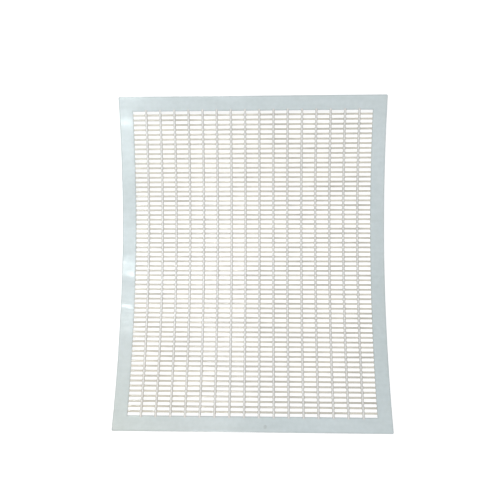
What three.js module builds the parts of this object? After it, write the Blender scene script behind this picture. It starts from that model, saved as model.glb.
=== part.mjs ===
// Queen excluder for a ten-frame hive: a thin flexible plastic sheet moulded as a grille.
//
// Sixty-three straight cross bars leave sixty-four rows of slots between them. Sixteen long ribs
// stand on the bars and divide each row into seventeen slots. A plain margin runs all round.
// The sheet keeps a bow along its length, so it lies on its middle with both ends raised.
//
// Frame, in mm: +X across the sheet, +Y along it, +Z up out of the hollow side, with the origin
// at the centre of the middle facet's underside. Distances along the sheet are called "along".
import * as THREE from "three";

// Driving dimensions.
const SHEET_LENGTH = 510; // along the bow
const SHEET_WIDTH = 410;
const END_MARGIN = 22;
const SIDE_MARGIN = 21.5;
const SHEET_THICKNESS = 1.2;
const SLOT_ROWS = 64;
const SLOT_COLUMNS = 17;
const SLOT_GAP = 4.3; // lets a worker bee through and stops a queen or a drone
const RIB_WIDTH = 3.7;
const RIB_TOP = 2.0; // height of a rib's top above the sheet's underside
const BOW_RADIUS = 790;
const BARS_PER_GROUP = 7;
const BAR_ROOT = 2; // strip of the side margin that a group's bars run into
const SEAT_GAP = 0.05; // clearance between a rib and the bars it stands on

// The grille, worked out from the driving dimensions.
const GRILLE_LENGTH = SHEET_LENGTH - 2 * END_MARGIN;
const GRILLE_WIDTH = SHEET_WIDTH - 2 * SIDE_MARGIN;
const BAR_COUNT = SLOT_ROWS - 1;
const BAR_WIDTH = (GRILLE_LENGTH - SLOT_ROWS * SLOT_GAP) / BAR_COUNT;
const ROW_PITCH = SLOT_GAP + BAR_WIDTH;
const RIB_COUNT = SLOT_COLUMNS - 1;
const COLUMN_PITCH = (GRILLE_WIDTH + RIB_WIDTH) / SLOT_COLUMNS;
const GROUP_COUNT = BAR_COUNT / BARS_PER_GROUP;
const GROUP_PITCH = BARS_PER_GROUP * ROW_PITCH;

// The bow is a chain of flat facets, one to each group of bars and one to each end margin.
// A crease lies in the middle of each slot row that parts two groups.
const creases = Array.from({ length: GROUP_COUNT + 1 }, (_, i) => (i - GROUP_COUNT / 2) * GROUP_PITCH);
const stations = [-SHEET_LENGTH / 2, ...creases, SHEET_LENGTH / 2];
const FOOT_HEIGHT = BOW_RADIUS * Math.cos(GROUP_PITCH / 2 / BOW_RADIUS);

const border = new THREE.MeshStandardMaterial({ color: 0xcdd8dc, roughness: 0.38, metalness: 0 });
const barPlastic = new THREE.MeshStandardMaterial({ color: 0xd2cec4, roughness: 0.42, metalness: 0 });
const ribPlastic = new THREE.MeshStandardMaterial({ color: 0xcfd6d8, roughness: 0.4, metalness: 0 });

// A point of the circle that the creases lie on, raised by height towards the hollow side.
function onCircle(along, height) {
  const angle = along / BOW_RADIUS;
  const radius = BOW_RADIUS - height;
  return new THREE.Vector2(radius * Math.sin(angle), FOOT_HEIGHT - radius * Math.cos(angle));
}

// A point (Y, Z) of the faceted bow.
function onBow(along, height) {
  const end = Math.max(1, stations.findIndex((station) => along <= station));
  const share = (along - stations[end - 1]) / (stations[end] - stations[end - 1]);
  return onCircle(stations[end - 1], height).lerp(onCircle(stations[end], height), share);
}

// A side view of the sheet between two places along it and two heights.
function bowedProfile(from, to, bottom, top) {
  const stops = [from, ...creases.filter((crease) => crease > from && crease < to), to];
  const underside = stops.map((along) => onBow(along, bottom));
  const topSide = stops.map((along) => onBow(along, top)).reverse();
  return new THREE.Shape([...underside, ...topSide]);
}

// A strip of the sheet: its side view carried across the width from one X to another.
function bowedStrip(name, material, profile, fromX, toX) {
  const geometry = new THREE.ExtrudeGeometry(profile, { depth: toX - fromX, bevelEnabled: false });
  const across = new THREE.Vector3(1, 0, 0);
  const alongAxis = new THREE.Vector3(0, 1, 0);
  const up = new THREE.Vector3(0, 0, 1);
  geometry.applyMatrix4(new THREE.Matrix4().makeBasis(alongAxis, up, across));
  const strip = new THREE.Mesh(geometry, material);
  strip.name = name;
  strip.position.x = fromX;
  return strip;
}

function endMargin(name, from, to) {
  const profile = bowedProfile(from, to, 0, SHEET_THICKNESS);
  return bowedStrip(name, border, profile, -SHEET_WIDTH / 2, SHEET_WIDTH / 2);
}

// One side margin in three stretches, each short enough to bend only a little.
function sideMargin(name, fromX, toX) {
  const ends = [-GRILLE_LENGTH / 2, -1.5 * GROUP_PITCH, 1.5 * GROUP_PITCH, GRILLE_LENGTH / 2];
  return ["front", "middle", "rear"].map((stretch, i) => {
    const profile = bowedProfile(ends[i], ends[i + 1], 0, SHEET_THICKNESS);
    return bowedStrip(`${name}_${stretch}`, border, profile, fromX, toX);
  });
}

function longRib(index) {
  const profile = bowedProfile(
    -GRILLE_LENGTH / 2,
    GRILLE_LENGTH / 2,
    SHEET_THICKNESS + SEAT_GAP,
    RIB_TOP,
  );
  const centre = (index - (RIB_COUNT - 1) / 2) * COLUMN_PITCH;
  const name = `long_rib_${String(index + 1).padStart(2, "0")}`;
  return bowedStrip(name, ribPlastic, profile, centre - RIB_WIDTH / 2, centre + RIB_WIDTH / 2);
}

function rectangle(shape, left, right, front, rear) {
  shape.moveTo(left, front);
  shape.lineTo(right, front);
  shape.lineTo(right, rear);
  shape.lineTo(left, rear);
  shape.closePath();
  return shape;
}

// Seven cross bars on one flat facet, joined at both ends by the strip that they run into.
function crossBars(index) {
  const halfLength = (GROUP_PITCH - SLOT_GAP) / 2;
  const halfWidth = GRILLE_WIDTH / 2 + BAR_ROOT;
  const outline = rectangle(new THREE.Shape(), -halfWidth, halfWidth, -halfLength, halfLength);
  for (let slot = 0; slot < BARS_PER_GROUP - 1; slot += 1) {
    const front = -halfLength + BAR_WIDTH + slot * ROW_PITCH;
    const hole = rectangle(new THREE.Path(), -GRILLE_WIDTH / 2, GRILLE_WIDTH / 2, front, front + SLOT_GAP);
    outline.holes.push(hole);
  }
  const geometry = new THREE.ExtrudeGeometry(outline, { depth: SHEET_THICKNESS, bevelEnabled: false });
  const group = new THREE.Mesh(geometry, barPlastic);
  group.name = `cross_bars_${index + 1}`;
  const along = (index - (GROUP_COUNT - 1) / 2) * GROUP_PITCH;
  const centre = onBow(along, 0);
  group.position.set(0, centre.x, centre.y);
  group.rotation.x = along / BOW_RADIUS;
  return group;
}

const excluder = new THREE.Group();
excluder.add(endMargin("front_margin", -SHEET_LENGTH / 2, -GRILLE_LENGTH / 2));
excluder.add(endMargin("rear_margin", GRILLE_LENGTH / 2, SHEET_LENGTH / 2));

const innerEdge = GRILLE_WIDTH / 2 + BAR_ROOT;
excluder.add(...sideMargin("left_margin", -SHEET_WIDTH / 2, -innerEdge));
excluder.add(...sideMargin("right_margin", innerEdge, SHEET_WIDTH / 2));

for (let index = 0; index < GROUP_COUNT; index += 1) excluder.add(crossBars(index));
for (let index = 0; index < RIB_COUNT; index += 1) excluder.add(longRib(index));

export default excluder;
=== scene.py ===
"""Looks of a queen excluder: one thin bowed plastic moulding with margins, cross bars and long ribs.

Each piece is drawn on the flat sheet first, as (across, along, height) in metres, where along is
measured on the sheet, and is then laid on the bow. The frame's +X is across and +Y is along.
"""
from math import asin, copysign, cos, pi, sin, sqrt

import bmesh
import bpy
from mathutils import Matrix, Vector


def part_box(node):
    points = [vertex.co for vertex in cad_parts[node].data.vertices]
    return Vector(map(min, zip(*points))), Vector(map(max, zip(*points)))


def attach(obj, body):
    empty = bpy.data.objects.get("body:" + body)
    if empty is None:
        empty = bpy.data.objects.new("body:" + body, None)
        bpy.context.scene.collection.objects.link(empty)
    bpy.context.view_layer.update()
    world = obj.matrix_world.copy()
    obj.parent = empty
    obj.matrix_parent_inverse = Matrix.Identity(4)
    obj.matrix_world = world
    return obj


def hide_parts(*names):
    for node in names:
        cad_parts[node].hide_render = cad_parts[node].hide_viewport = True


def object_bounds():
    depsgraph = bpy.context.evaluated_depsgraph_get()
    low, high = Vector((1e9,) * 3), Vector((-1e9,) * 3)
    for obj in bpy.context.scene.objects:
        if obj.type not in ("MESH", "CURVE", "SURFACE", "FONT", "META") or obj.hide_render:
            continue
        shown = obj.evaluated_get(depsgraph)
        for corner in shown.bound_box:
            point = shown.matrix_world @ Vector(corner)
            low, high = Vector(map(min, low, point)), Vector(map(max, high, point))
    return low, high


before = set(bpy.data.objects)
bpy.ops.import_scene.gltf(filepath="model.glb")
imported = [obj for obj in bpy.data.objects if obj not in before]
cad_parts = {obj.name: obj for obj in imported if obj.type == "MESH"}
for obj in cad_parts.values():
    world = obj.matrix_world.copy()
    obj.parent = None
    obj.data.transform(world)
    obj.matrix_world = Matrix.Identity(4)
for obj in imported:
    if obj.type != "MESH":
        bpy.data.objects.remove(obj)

cad_low, cad_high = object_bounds()

# Corners of a rectangle, in order round it.
CORNERS = [(-1, -1), (1, -1), (1, 1), (-1, 1)]

# The sheet.
BOW_RADIUS = 0.798
THICKNESS = 0.0012
END_MARGIN = 0.022
END_CLEARANCE = 0.0001  # how far the ends of the sheet stay inside the CAD model's box
BAR_ROOT = 0.002  # width of the strip of the side margins that belongs to the cross bars in CAD
HALF_WIDTH = cad_high.x
HALF_LENGTH = BOW_RADIUS * asin(cad_high.y / BOW_RADIUS) - END_CLEARANCE
GRILLE_HALF_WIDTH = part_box("right_margin_middle")[0].x - BAR_ROOT
GRILLE_HALF_LENGTH = HALF_LENGTH - END_MARGIN

# The grille.
BAR_GROUPS = 9
BARS_PER_GROUP = 7
BAR_COUNT = BAR_GROUPS * BARS_PER_GROUP
BAR_WIDTH = 0.00303
BAR_BOTTOM, BAR_TOP = 0.00005, 0.00115
RIB_NODES = sorted(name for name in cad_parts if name.startswith("long_rib"))
SLOT_CORNER = 0.0008  # radius of the slots' corners
ROW_PITCH = (2 * GRILLE_HALF_LENGTH + BAR_WIDTH) / (BAR_COUNT + 1)

# Waves of the left margin, as (along, how steeply it falls towards the rear there).
WAVES = [
    (-0.250, 0),
    (-0.200, -0.022),
    (-0.125, -0.022),
    (-0.108, 0.003),
    (-0.100, 0.012),
    (-0.072, 0.012),
    (-0.070, 0.041),
    (-0.067, 0.041),
    (-0.065, 0.006),
    (-0.052, 0.006),
    (-0.046, 0.003),
    (-0.038, -0.014),
    (-0.030, -0.014),
    (-0.016, 0.036),
    (-0.010, 0.052),
    (-0.004, 0.052),
    (0.000, 0.036),
    (0.004, 0.018),
    (0.011, 0.004),
    (0.060, 0.003),
    (0.080, -0.008),
    (0.130, -0.008),
    (0.145, 0.004),
    (0.195, 0.004),
    (0.208, 0.010),
    (0.214, 0.028),
    (0.223, 0.028),
    (0.231, 0.008),
    (0.243, 0),
]
WAVE_SLANT = 0.2  # how far a wave moves towards the front for each metre across
WAVE_FADE = (-0.183, -0.14)  # across: a wave is whole to the left of this stretch and gone after it


def smoothstep(low, high, value):
    share = min(1.0, max(0.0, (value - low) / (high - low)))
    return share * share * (3 - 2 * share)


def wave(across, along):
    """How far the waves of the left margin raise the sheet at a place, summed from the rear."""
    fade = 1 - smoothstep(*WAVE_FADE, across)
    if fade == 0:
        return 0
    place = along + WAVE_SLANT * (across + HALF_WIDTH)
    raised = 0
    for (front, front_fall), (rear, rear_fall) in zip(WAVES, WAVES[1:]):
        if place < rear:
            start = max(place, front)
            start_fall = front_fall + (rear_fall - front_fall) * (start - front) / (rear - front)
            raised += (rear - start) * (start_fall + rear_fall) / 2
    return fade * raised


def on_bow(across, along, height):
    """The point of the frame for a place on the flat sheet and a height above its underside."""
    angle = along / BOW_RADIUS
    radius = BOW_RADIUS - height - wave(across, along)
    return Vector((across, radius * sin(angle), BOW_RADIUS - radius * cos(angle)))


def rounded(corners, radius, steps=3):
    """A closed convex outline with its corners rounded, as a list of flat vectors."""
    outline = []
    for i, corner in enumerate(corners):
        here = Vector(corner)
        before = (Vector(corners[i - 1]) - here).normalized() * radius
        after = (Vector(corners[(i + 1) % len(corners)]) - here).normalized() * radius
        for step in range(steps + 1):
            t = step / steps
            outline.append(here + before * (1 - t) ** 2 + after * t ** 2)
    return outline


def new_body():
    """An empty body whose points carry a painted-shade value, from 0 on open faces to 1 along edges,
    where the material darkens the colour as painted shade.
    """
    body = bmesh.new()
    body.verts.layers.float.new("rim")
    return body


def sweep(body, rings, loop=False):
    """Add a closed skin through rings of (point, painted shade), with flat ends unless the rings form
    a loop.
    """
    painted_shade_layer = body.verts.layers.float["rim"]
    rows = []
    for ring in rings:
        row = []
        for point, rim in ring:
            vert = body.verts.new(point)
            vert[painted_shade_layer] = rim
            row.append(vert)
        rows.append(row)
    following = rows[1:] + rows[:1] if loop else rows[1:]
    for near, far in zip(rows, following):
        for i in range(len(near)):
            j = (i + 1) % len(near)
            body.faces.new((near[i], near[j], far[j], far[i]))
    if not loop:
        body.faces.new(rows[0][::-1])
        body.faces.new(rows[-1])


def made(name, body):
    """The object for a finished body."""
    bmesh.ops.recalc_face_normals(body, faces=body.faces)
    for face in body.faces:
        face.smooth = True
    mesh = bpy.data.meshes.new(name)
    body.to_mesh(mesh)
    body.free()
    piece = bpy.data.objects.new(name, mesh)
    bpy.context.scene.collection.objects.link(piece)
    return piece


def spaced(start, end, step):
    """Evenly spaced numbers from start to end, no more than a step apart."""
    count = max(1, round(abs(end - start) / step + 0.5))
    return [start + (end - start) * i / count for i in range(count + 1)]


# Border.
EDGE_RADIUS = 0.00045
PAINTED_SHADE_REACH = EDGE_RADIUS * 1.01  # how far the painted edge shade reaches from an edge: just past its rounding
OUTER_CORNER = 0.002  # radius of the sheet's four corners
CORNER_STEPS = 4
BORDER_STEP = 0.0015


def border_section():
    """The border's section, as (share of the way from the inner edge to the outer, height, painted
    shade).
    """
    margin = HALF_WIDTH - GRILLE_HALF_WIDTH
    box = rounded([(0, 0), (0, THICKNESS), (margin, THICKNESS), (margin, 0)], EDGE_RADIUS)
    section = []
    for i, point in enumerate(box):
        after = box[(i + 1) % len(box)]
        stops = max(1, round(abs(after.x - point.x) / BORDER_STEP))
        section += [point.lerp(after, k / stops) for k in range(stops)]
    # Painted shade on the rounded inner and outer edges of the border.
    painted_shades = [0 if PAINTED_SHADE_REACH < point.x < margin - PAINTED_SHADE_REACH else 1 for point in section]
    return [(point.x / margin, point.y, rim) for point, rim in zip(section, painted_shades)]


def border_corner(across, along):
    """The place moved onto the round outer corner if it lies outside it."""
    centre_x, centre_y = HALF_WIDTH - OUTER_CORNER, HALF_LENGTH - OUTER_CORNER
    out = Vector((max(0, abs(across) - centre_x), max(0, abs(along) - centre_y)))
    if out.x == 0 or out.y == 0 or out.length <= OUTER_CORNER:
        return across, along
    out *= OUTER_CORNER / out.length
    return copysign(centre_x + out.x, across), copysign(centre_y + out.y, along)


def make_border():
    inner = [Vector((x * GRILLE_HALF_WIDTH, y * GRILLE_HALF_LENGTH)) for x, y in CORNERS]
    outer = [Vector((x * HALF_WIDTH, y * HALF_LENGTH)) for x, y in CORNERS]
    section = border_section()
    rings = []
    for side in range(4):
        length = (outer[(side + 1) % 4] - outer[side]).length
        ends = [OUTER_CORNER * k / CORNER_STEPS for k in range(CORNER_STEPS)]
        stops = ends + spaced(OUTER_CORNER, length - OUTER_CORNER, BORDER_STEP)
        stops += [length - end for end in reversed(ends[1:])]
        for stop in stops:
            share = stop / length
            near = inner[side].lerp(inner[(side + 1) % 4], share)
            far = outer[side].lerp(outer[(side + 1) % 4], share)
            ring = []
            for out, height, rim in section:
                place = near.lerp(far, out)
                ring.append((on_bow(*border_corner(place.x, place.y), height), rim))
            rings.append(ring)
    body = new_body()
    sweep(body, rings, loop=True)
    return made("border", body)


# Gate mark: the small raised ring that the moulding gate leaves on the front margin.
GATE_PLACE = Vector((0.02, -0.247))
GATE_SIDES = 24
# Painted shade over the whole gate mark, darkening it as the shading of its low relief would.
GATE_PAINTED_SHADE = 0.5

# Its profile, as (radius, height above the margin's face).
GATE_PROFILE = [
    (0.0026, -0.0001),
    (0.0026, 0.00003),
    (0.0022, 0.0001),
    (0.0013, 0.00006),
    (0.0004, 0.00004),
]


def make_gate_mark():
    rings = []
    for radius, rise in GATE_PROFILE:
        ring = []
        for k in range(GATE_SIDES):
            angle = 2 * pi * k / GATE_SIDES
            place = GATE_PLACE + radius * Vector((cos(angle), sin(angle)))
            ring.append((on_bow(place.x, place.y, THICKNESS + rise), GATE_PAINTED_SHADE))
        rings.append(ring)
    body = new_body()
    sweep(body, rings)
    return made("gate_mark", body)


# Cross bars.
BAR_SINK = BAR_ROOT * 0.7  # how far the ends of the bars run into the side margins
BAR_EDGE_RADIUS = 0.0004
BAR_STEP = 0.006
FILLET_STEPS = 4
# Painted shade on the fillets where bars run into ribs and margins.
FILLET_PAINTED_SHADE = 0.6


def slot_spans():
    """The (start, end) across the sheet of each slot column, between ribs and margins."""
    sides = [-GRILLE_HALF_WIDTH]
    for node in RIB_NODES:
        low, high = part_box(node)
        sides += [low.x, high.x]
    sides.append(GRILLE_HALF_WIDTH)
    return list(zip(sides[::2], sides[1::2]))


def fillet(distance):
    """How much a bar widens on each side, this far from what it runs into."""
    if distance >= SLOT_CORNER:
        return 0
    return SLOT_CORNER - sqrt(SLOT_CORNER ** 2 - (SLOT_CORNER - distance) ** 2)


def add_bar(body, along):
    near = [SLOT_CORNER * (1 - cos(pi / 2 * k / FILLET_STEPS)) for k in range(FILLET_STEPS + 1)]
    stops = [(-GRILLE_HALF_WIDTH - BAR_SINK, SLOT_CORNER)]
    for start, end in slot_spans():
        stops += [(start + distance, fillet(distance)) for distance in near]
        middle = spaced(start + SLOT_CORNER, end - SLOT_CORNER, BAR_STEP)[1:-1]
        stops += [(across, 0) for across in middle]
        stops += [(end - distance, fillet(distance)) for distance in reversed(near)]
    stops.append((GRILLE_HALF_WIDTH + BAR_SINK, SLOT_CORNER))
    rings = []
    for across, extra in stops:
        half = BAR_WIDTH / 2 + extra
        corners = [(-half, BAR_BOTTOM), (half, BAR_BOTTOM), (half, BAR_TOP), (-half, BAR_TOP)]
        # Painted shade on the bar's widened roots.
        rim = FILLET_PAINTED_SHADE if extra else 0
        ring = []
        for point in rounded(corners, BAR_EDGE_RADIUS):
            ring.append((on_bow(across, along + point.x, point.y), rim))
        rings.append(ring)
    sweep(body, rings)


def make_bars(group):
    first = group * BARS_PER_GROUP
    body = new_body()
    for index in range(first, first + BARS_PER_GROUP):
        add_bar(body, (index - (BAR_COUNT - 1) / 2) * ROW_PITCH)
    return made(f"bars_{group + 1}", body)


# Long ribs.
RIB_TOP = 0.002
RIB_SHOULDER = THICKNESS * 0.9  # height at which a rib's sides start to lean in
RIB_CREST = 0.6  # width of a rib's crest as a share of its foot
RIB_EDGE_RADIUS = 0.00025
RIB_STEP = 0.003
RIB_END = 0.003  # length of the slope by which a rib's end sinks into the end margin
RIB_END_STEP = RIB_END / 4
RIB_END_TOP = THICKNESS * 0.95  # height of the crest where it has sunk under the margin's face
RIB_END_BOTTOM = 0.00003  # keeps the underside of a sunk end just inside the margin's
PAINTED_SHADE_START = 0.95  # share of the way from a crest's middle to its side where the painted shade of the rib's sides starts


def make_rib(node):
    low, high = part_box(node)
    centre = (low.x + high.x) / 2
    foot = (high.x - low.x) / 2
    crest = foot * RIB_CREST
    reach = GRILLE_HALF_LENGTH + RIB_END
    stops = spaced(-reach, -GRILLE_HALF_LENGTH, RIB_END_STEP)
    stops += spaced(-GRILLE_HALF_LENGTH, GRILLE_HALF_LENGTH, RIB_STEP)[1:-1]
    stops += spaced(GRILLE_HALF_LENGTH, reach, RIB_END_STEP)
    rings = []
    for along in stops:
        sunk = smoothstep(GRILLE_HALF_LENGTH, reach, abs(along))
        top = RIB_TOP + (RIB_END_TOP - RIB_TOP) * sunk
        bottom = RIB_END_BOTTOM if sunk else 0
        right = [(foot, bottom), (foot, RIB_SHOULDER), (crest, top)]
        left = [(-crest, top), (-foot, RIB_SHOULDER), (-foot, bottom)]
        ring = []
        for point in rounded(right + left, RIB_EDGE_RADIUS, 2):
            # Painted shade on the rib's sloping sides, outside the middle of its crest.
            rim = 0 if abs(point.x) < crest * PAINTED_SHADE_START else 1
            ring.append((on_bow(centre + point.x, along, point.y), rim))
        rings.append(ring)
    body = new_body()
    sweep(body, rings)
    return made(node.replace("long_", ""), body)


# Materials. A noise has about as many waves in a metre as its scale says, before any stretch.
STRETCH = (12, 90, 90)  # draws the streaks and the flow lines out across the sheet
STREAK_SCALE = 1.7
DRIFT_SCALE = 7
CLOUD_SCALE = 160
DRIFT_SHARE = 0.6  # how much of the colour's change is drift where it isn't streaks; the rest is cloud
GLOSS_SCALE = 60
GLOSS_BELOW, GLOSS_ABOVE = 0.05, 0.06  # how far the roughness goes below and above its value
FLOW_SCALE = 1
GRAIN_SCALE = 1800
GRAIN_HEIGHT = 0.25  # height of the grain as a share of the flow lines'
BUMP_HEIGHT = 0.0002
BUMP_STRENGTH = 0.25
WARM_TINT = (0.99, 0.955, 0.905)
WARM_SPAN = (0.2, 0.45)  # metres to the left plus metres to the front where the warm tint starts and is full


def noise_node(tree, vector, scale, detail=4):
    node = tree.nodes.new("ShaderNodeTexNoise")
    node.inputs["Scale"].default_value = scale
    node.inputs["Detail"].default_value = detail
    tree.links.new(vector, node.inputs["Vector"])
    return node.outputs["Fac"]


def between(tree, value, low, high):
    """A noise, which runs from about 0.3 to 0.7, spread over low to high."""
    node = tree.nodes.new("ShaderNodeMapRange")
    node.inputs["From Min"].default_value = 0.3
    node.inputs["From Max"].default_value = 0.7
    node.inputs["To Min"].default_value = low
    node.inputs["To Max"].default_value = high
    tree.links.new(value, node.inputs["Value"])
    return node.outputs["Result"]


def added(tree, first, second):
    node = tree.nodes.new("ShaderNodeMath")
    node.operation = "ADD"
    tree.links.new(first, node.inputs[0])
    tree.links.new(second, node.inputs[1])
    return node.outputs[0]


def tinted(tree, colour, amount, tint):
    """A colour multiplied by a tint where the amount is 1, and left alone where it is 0."""
    node = tree.nodes.new("ShaderNodeMix")
    node.data_type = "RGBA"
    node.blend_type = "MULTIPLY"
    node.inputs["B"].default_value = (*tint, 1)
    tree.links.new(amount, node.inputs["Factor"])
    tree.links.new(colour, node.inputs["A"])
    return node.outputs["Result"]


def warm_share(tree, place):
    """How much the warm tint covers a place: the more, the nearer the front left corner."""
    slope = tree.nodes.new("ShaderNodeVectorMath")
    slope.operation = "DOT_PRODUCT"
    slope.inputs[1].default_value = (-1, -1, 0)
    tree.links.new(place, slope.inputs[0])
    node = tree.nodes.new("ShaderNodeMapRange")
    node.inputs["From Min"].default_value, node.inputs["From Max"].default_value = WARM_SPAN
    tree.links.new(slope.outputs["Value"], node.inputs["Value"])
    return node.outputs["Result"]


def plastic(name, pale, deep, streaks, roughness, painted_shade_tint):
    """Thin moulded plastic: streaky and cloudy colour, faint flow lines and a soft gloss.

    The colour runs from pale to deep, by streaks for the share given and by drift and cloud for
    the rest. The painted-shade tint darkens the colour where pieces carry painted shade: edges, rib
    sides, bar roots and the gate mark.
    """
    material = bpy.data.materials.new(name)
    material.use_nodes = True
    tree = material.node_tree
    shader = tree.nodes["Principled BSDF"]
    place = tree.nodes.new("ShaderNodeTexCoord").outputs["Object"]
    stretch = tree.nodes.new("ShaderNodeMapping")
    stretch.inputs["Scale"].default_value = STRETCH
    tree.links.new(place, stretch.inputs["Vector"])
    stretched = stretch.outputs["Vector"]

    rest = 1 - streaks
    streak = between(tree, noise_node(tree, stretched, STREAK_SCALE, 2), 0, streaks)
    drift = between(tree, noise_node(tree, place, DRIFT_SCALE), 0, DRIFT_SHARE * rest)
    cloud = between(tree, noise_node(tree, place, CLOUD_SCALE, 6), 0, (1 - DRIFT_SHARE) * rest)
    colour = tree.nodes.new("ShaderNodeMix")
    colour.data_type = "RGBA"
    colour.inputs["A"].default_value = (*pale, 1)
    colour.inputs["B"].default_value = (*deep, 1)
    tree.links.new(added(tree, streak, added(tree, drift, cloud)), colour.inputs["Factor"])

    # Painted shade: where points carry painted shade, the colour is multiplied by the tint.
    rim = tree.nodes.new("ShaderNodeAttribute")
    rim.attribute_name = "rim"
    painted_shade_grey = (painted_shade_tint, painted_shade_tint, painted_shade_tint)
    edged = tinted(tree, colour.outputs["Result"], rim.outputs["Fac"], painted_shade_grey)
    warmed = tinted(tree, edged, warm_share(tree, place), WARM_TINT)
    tree.links.new(warmed, shader.inputs["Base Color"])

    gloss_noise = noise_node(tree, place, GLOSS_SCALE, 5)
    gloss = between(tree, gloss_noise, roughness - GLOSS_BELOW, roughness + GLOSS_ABOVE)
    tree.links.new(gloss, shader.inputs["Roughness"])

    flow = between(tree, noise_node(tree, stretched, FLOW_SCALE, 3), 0, 1)
    grain = between(tree, noise_node(tree, place, GRAIN_SCALE, 2), 0, GRAIN_HEIGHT)
    bump = tree.nodes.new("ShaderNodeBump")
    bump.inputs["Strength"].default_value = BUMP_STRENGTH
    bump.inputs["Distance"].default_value = BUMP_HEIGHT
    tree.links.new(added(tree, flow, grain), bump.inputs["Height"])
    tree.links.new(bump.outputs["Normal"], shader.inputs["Normal"])

    shader.inputs["IOR"].default_value = 1.5
    shader.inputs["Subsurface Weight"].default_value = 0.15
    shader.inputs["Subsurface Radius"].default_value = (0.8, 0.9, 1.0)
    shader.inputs["Subsurface Scale"].default_value = 0.003
    return material


def dress(piece, material, nodes):
    piece.data.materials.append(material)
    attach(piece, "root")
    if nodes:
        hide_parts(*nodes)


# Stage.
FLOOR_HALF = 4
FLOOR_TOP = -0.0001  # a hair below the sheet
CAMERA_PLACE = (0.0214, -0.0373, 0.7828)
CAMERA_PITCH = 0.0704
CAMERA_TURN = 0.0321


def make_floor():
    mesh = bpy.data.meshes.new("floor")
    corners = [(x * FLOOR_HALF, y * FLOOR_HALF, FLOOR_TOP) for x, y in CORNERS]
    mesh.from_pydata(corners, [], [(0, 1, 2, 3)])
    floor = bpy.data.objects.new("floor", mesh)
    bpy.context.scene.collection.objects.link(floor)
    material = bpy.data.materials.new("paper")
    material.use_nodes = True
    shader = material.node_tree.nodes["Principled BSDF"]
    shader.inputs["Base Color"].default_value = (0.4, 0.4, 0.4, 1)
    shader.inputs["Roughness"].default_value = 0.9
    shader.inputs["Specular IOR Level"].default_value = 0.1
    shader.inputs["Emission Color"].default_value = (1, 1, 1, 1)
    shader.inputs["Emission Strength"].default_value = 0.75
    mesh.materials.append(material)


def area_light(name, place, target, size, watts, colour=(1, 1, 1)):
    light = bpy.data.lights.new(name, "AREA")
    light.shape = "RECTANGLE"
    light.size, light.size_y = size
    light.energy = watts
    light.color = colour
    lamp = bpy.data.objects.new(name, light)
    lamp.location = place
    lamp.visible_camera = False
    lamp.rotation_euler = (Vector(target) - Vector(place)).to_track_quat("-Z", "Y").to_euler()
    bpy.context.scene.collection.objects.link(lamp)


def make_lights():
    area_light("left_panel", (-1.1, 0.1, 1.0), (0, 0, 0), (0.6, 0.8), 7)
    area_light("right_fill", (1.5, 0, 0.4), (0, 0, 0.02), (0.5, 1.0), 3)
    area_light("top_panel", (0.1, -0.3, 2.3), (0, 0, 0), (2.2, 2.2), 17.1)
    area_light("room_lamp", (-0.21, 0.1, 1.6), (-0.04, -0.04, 0), (0.2, 0.16), 1.7)
    area_light("glint", (-0.398, 0.113, 0.79), (-0.19, 0, 0), (0.055, 0.055), 0.46, (0.9, 1, 1))
    world = bpy.data.worlds.new("studio")
    world.use_nodes = True
    background = world.node_tree.nodes["Background"]
    background.inputs["Color"].default_value = (0.95, 0.98, 1, 1)
    background.inputs["Strength"].default_value = 0.4
    bpy.context.scene.world = world
    bpy.context.scene.view_settings.view_transform = "Standard"


def make_camera():
    lens = bpy.data.cameras.new("camera")
    lens.sensor_width = 36
    lens.lens = 36
    camera = bpy.data.objects.new("camera", lens)
    camera.matrix_world = (
        Matrix.Translation(CAMERA_PLACE)
        @ Matrix.Rotation(CAMERA_PITCH, 4, "X")
        @ Matrix.Rotation(CAMERA_TURN, 4, "Y")
    )
    bpy.context.scene.collection.objects.link(camera)
    bpy.context.scene.camera = camera


make_camera()
make_floor()
make_lights()

# The last tint of each material sets how dark its painted shade gets.
border_plastic = plastic(
    "border_plastic",
    pale=(0.622, 0.677, 0.691),
    deep=(0.508, 0.565, 0.565),
    streaks=0.2,
    roughness=0.17,
    painted_shade_tint=0.82,
)
bar_plastic = plastic(
    "bar_plastic",
    pale=(0.72, 0.674, 0.585),
    deep=(0.442, 0.416, 0.362),
    streaks=0.7,
    roughness=0.17,
    painted_shade_tint=0.85,
)
rib_plastic = plastic(
    "rib_plastic",
    pale=(0.752, 0.735, 0.71),
    deep=(0.676, 0.66, 0.634),
    streaks=0.2,
    roughness=0.18,
    painted_shade_tint=0.8,
)

margins = [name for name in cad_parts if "margin" in name]
dress(make_border(), border_plastic, margins)
dress(make_gate_mark(), border_plastic, [])
for index in range(BAR_GROUPS):
    dress(make_bars(index), bar_plastic, [f"cross_bars_{index + 1}"])
for rib_node in RIB_NODES:
    dress(make_rib(rib_node), rib_plastic, [rib_node])
